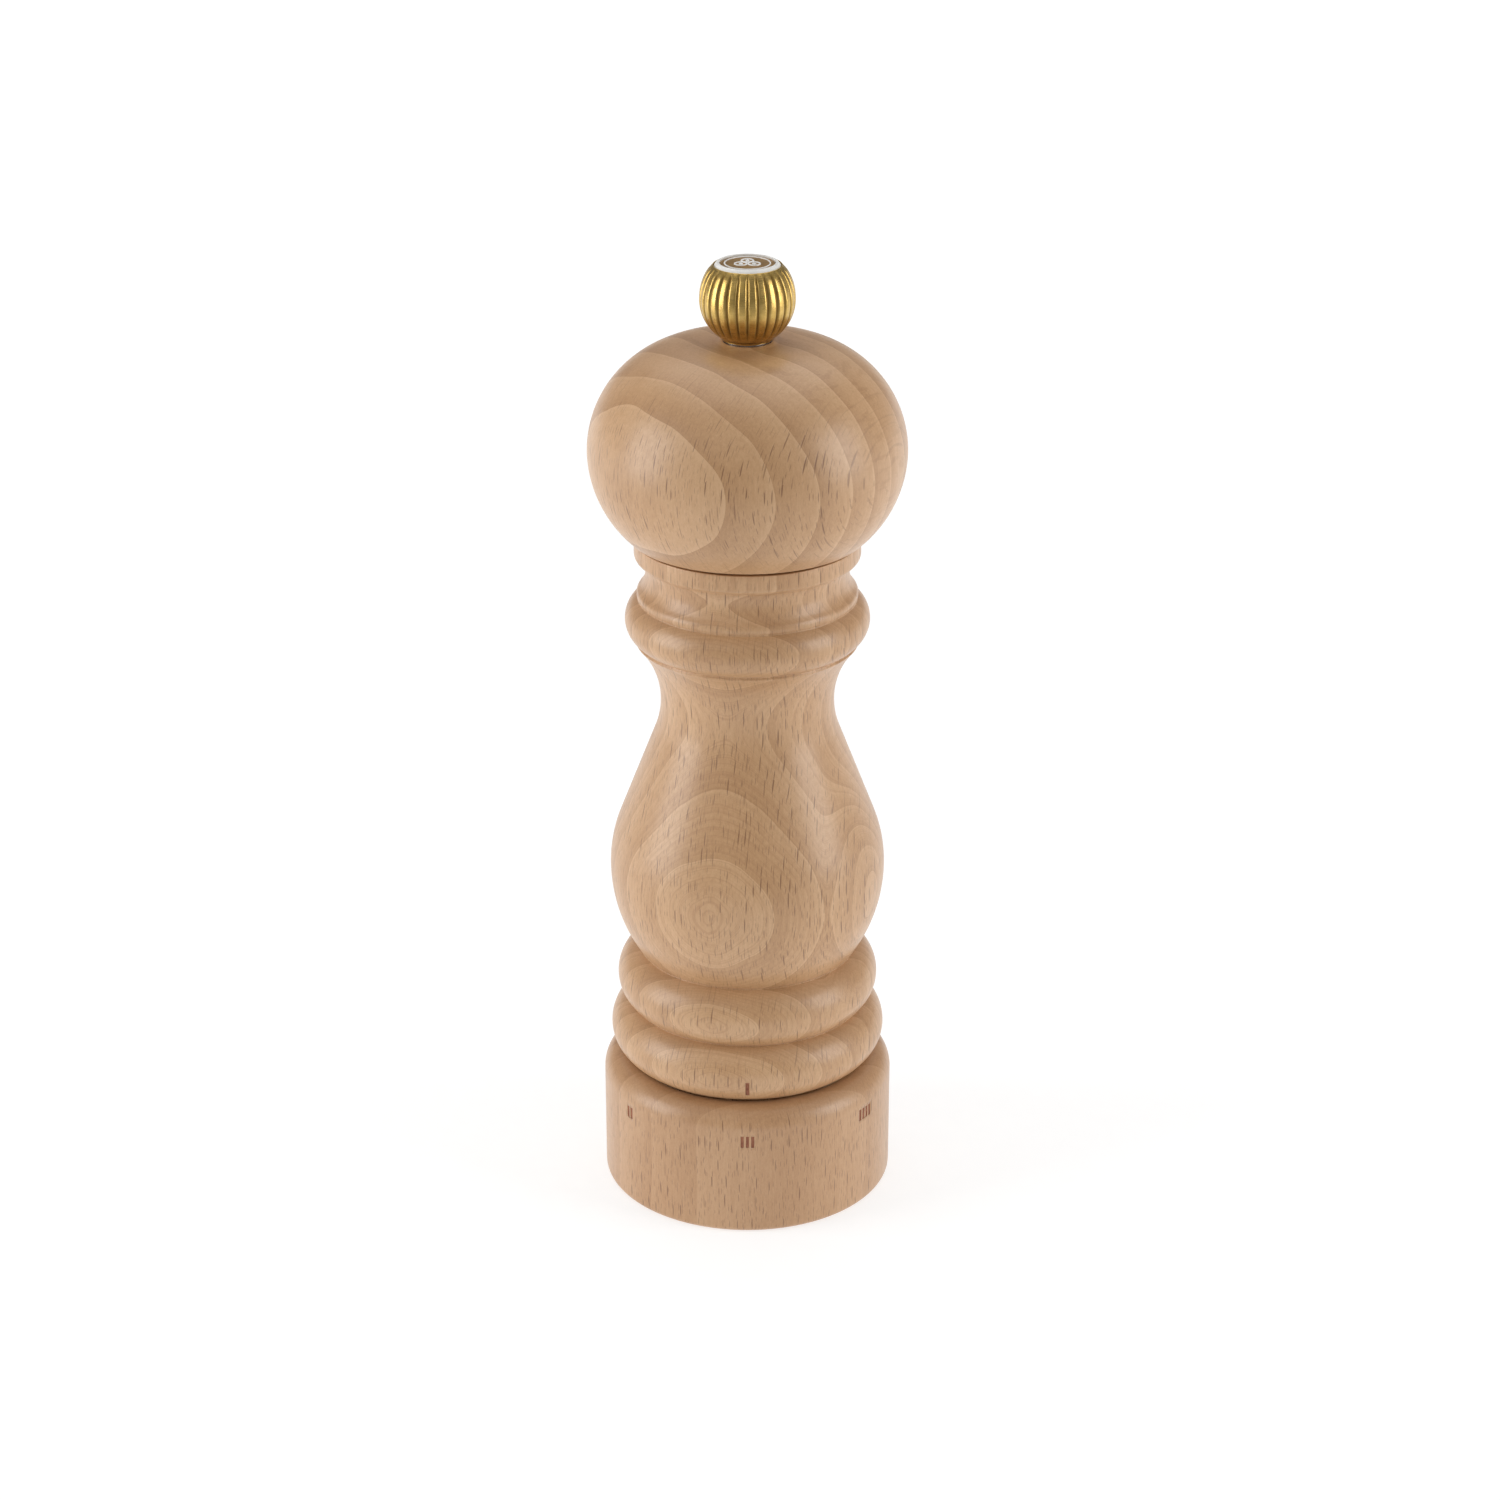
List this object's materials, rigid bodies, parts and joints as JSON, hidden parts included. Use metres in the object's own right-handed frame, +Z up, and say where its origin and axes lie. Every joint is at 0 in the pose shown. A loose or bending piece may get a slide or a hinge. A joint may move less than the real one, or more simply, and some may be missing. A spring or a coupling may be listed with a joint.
{
  "type": "pepper mill",
  "caption": "Turned beech pepper mill with a ball head, a ribbed gilt knob and a base ring that sets the grind.",
  "frame": {"origin": "centre of the ring-shaped face that the mill stands on", "axes": "+Z up the mill's axis; the index mark and the third setting mark face -Y"},
  "size_m": [0.0572, 0.0572, 0.18],
  "materials": {
    "beech": "turned and sanded beech under a thin satin lacquer",
    "nylon_pale": "natural moulded nylon",
    "nylon_dark": "dark moulded acetal, slightly glossy where it rubs",
    "zinc_casting": "grey zinc casting, left as cast",
    "burr_steel": "case-hardened steel, dark and oiled",
    "spring_steel": "drawn spring steel",
    "screw_steel": "bright zinc-plated steel",
    "plate_steel": "stamped steel plate, lightly brushed",
    "shaft_aluminium": "drawn square aluminium bar",
    "bush_brass": "turned brass",
    "gilt_metal": "gilt finish over ribbed metal, satin",
    "ivory_ring": "ivory-white moulded ring",
    "bronze_disc": "bronze-brown lacquered disc"
  },
  "bodies": {
    "barrel": {"barrel": "beech", "housing_sleeve": "nylon_pale", "upper_bridge": "zinc_casting", "ring_retainer": "spring_steel", "housing_screws": "screw_steel", "burr_spring": "spring_steel"},
    "selector": {"base_ring": "beech", "ring_liner": "nylon_pale", "cam_ring": "nylon_dark"},
    "carrier": {"burr_carrier": "nylon_dark", "outer_burr": "burr_steel", "lock_ring": "screw_steel"},
    "drive": {"drive_shaft": "shaft_aluminium", "inner_burr": "burr_steel", "burr_nut": "screw_steel", "shaft_bush": "bush_brass", "shaft_clip": "spring_steel"},
    "head": {"head": "beech", "head_bush": "screw_steel", "drive_plate": "plate_steel", "plate_screws": "screw_steel"},
    "knob_washer": {"knob_washer": "screw_steel"},
    "knob": {"knob": "gilt_metal", "knob_insert": "bush_brass", "knob_bezel": "ivory_ring", "knob_disc": "bronze_disc"}
  },
  "joints": [
    {"name": "base_turn", "type": "hinge", "parent": "barrel", "child": "selector", "pos_m": [0, 0, 0.0128], "axis": [0, 0, -1], "range_deg": [-108, 162]},
    {"name": "burr_lift", "type": "slide", "parent": "barrel", "child": "carrier", "axis": [0, 0, 1], "range_m": [-0.0005, 0.00075], "deforming": ["burr_spring"]},
    {"name": "head_turn", "type": "hinge", "parent": "barrel", "child": "drive", "pos_m": [0, 0, 0.03], "axis": [0, 0, 1], "continuous": true},
    {"name": "head_lift", "type": "slide", "parent": "drive", "child": "head", "axis": [0, 0, 1], "range_m": [0, 0.06]},
    {"name": "knob_rise", "type": "slide", "parent": "head", "child": "knob_washer", "axis": [0, 0, 1], "range_m": [0, 0.0064]},
    {"name": "knob_turn", "type": "hinge", "parent": "knob_washer", "child": "knob", "pos_m": [0, 0, 0.17], "axis": [0, 0, 1], "range_deg": [0, 2880]}
  ],
  "couplings": [
    {"joint": "base_turn", "follows": "burr_lift", "rad_per_m": 3769.9},
    {"joint": "knob_turn", "follows": "knob_rise", "rad_per_m": 7854}
  ]
}
